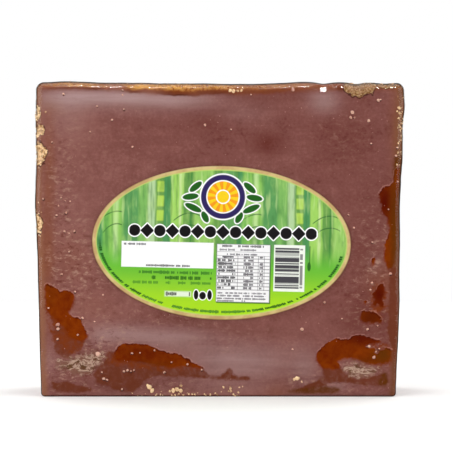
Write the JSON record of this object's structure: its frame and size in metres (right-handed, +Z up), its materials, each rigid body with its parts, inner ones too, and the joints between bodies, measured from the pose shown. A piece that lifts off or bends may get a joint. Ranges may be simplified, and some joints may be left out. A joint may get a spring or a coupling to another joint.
{
  "type": "rapadura block",
  "caption": "Upright block of unrefined cane sugar in tight clear film, slightly wider at the top, with chipped edges and an oval printed label on its front.",
  "frame": {"origin": "middle of the box's footprint, on the surface that the block stands on", "axes": "+X along the block's width, to the right when facing the label; +Z up; the label faces -Y"},
  "size_m": [0.1499, 0.0416, 0.1264],
  "materials": {
    "raw_sugar": "hard cane sugar under clinging film: dusky brown where air lies under the film, glossy amber where it clings, pale tan where chipped",
    "printed_label": "semi-gloss printed label, greens with a tan border",
    "clear_film": "thin clear glossy film"
  },
  "bodies": {
    "root": {"rapadura_block": "raw_sugar", "oval_label": "printed_label", "back_seal": "clear_film", "left_end_flap": "clear_film", "right_end_flap": "clear_film"}
  },
  "joints": []
}
